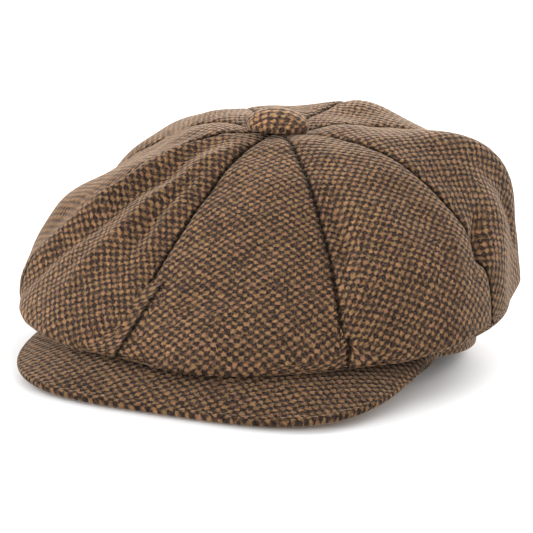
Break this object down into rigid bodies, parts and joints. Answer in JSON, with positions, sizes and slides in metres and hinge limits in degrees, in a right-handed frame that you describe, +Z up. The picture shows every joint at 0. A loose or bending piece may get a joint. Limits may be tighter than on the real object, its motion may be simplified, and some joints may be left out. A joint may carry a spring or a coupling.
{
  "type": "newsboy cap",
  "caption": "Full-crowned cloth cap with puffed gores meeting under a covered button, a folded band with a gathered elastic back, a lining, and a stiff cloth-covered visor under the overhang.",
  "frame": {"origin": "middle of the bounding box's floor, which is the table the cap lies on", "axes": "+Z up, -Y towards the visor's front edge, +X towards the wearer's left"},
  "size_m": [0.2334, 0.2786, 0.1113],
  "materials": {
    "tweed": "brown and charcoal wool hopsack tweed, matt, slightly fuzzy",
    "elastic": "ribbed woven elastic",
    "sweatband_cloth": "charcoal cotton twill",
    "lining_satin": "dark brown satin, soft sheen",
    "button_steel": "plated sheet steel and wire",
    "board": "flexible polyethylene visor board",
    "label_cloth": "plain woven label, blank"
  },
  "bodies": {
    "cap": {"crown_front": "tweed", "crown_front_left": "tweed", "crown_left": "tweed", "crown_back_left": "tweed", "crown_back": "tweed", "crown_back_right": "tweed", "crown_right": "tweed", "crown_front_right": "tweed", "band_left": "tweed", "band_right": "tweed", "band_back_casing": "tweed", "band_elastic": "elastic", "sweatband": "sweatband_cloth", "lining_tip": "lining_satin", "lining_left": "lining_satin", "lining_right": "lining_satin", "button_cover": "tweed", "button_shell": "button_steel", "button_plate": "button_steel", "button_eye": "button_steel", "blank_label": "label_cloth"},
    "visor": {"visor_board": "board", "visor_cover_top": "tweed", "visor_cover_bottom": "tweed"}
  },
  "joints": [
    {"name": "visor_flex", "type": "hinge", "parent": "cap", "child": "visor", "pos_m": [0, -0.0623, 0.0165], "axis": [-1, 0, 0], "range_deg": [-5, 1], "stiffness_Nm_per_rad": 1.5}
  ]
}
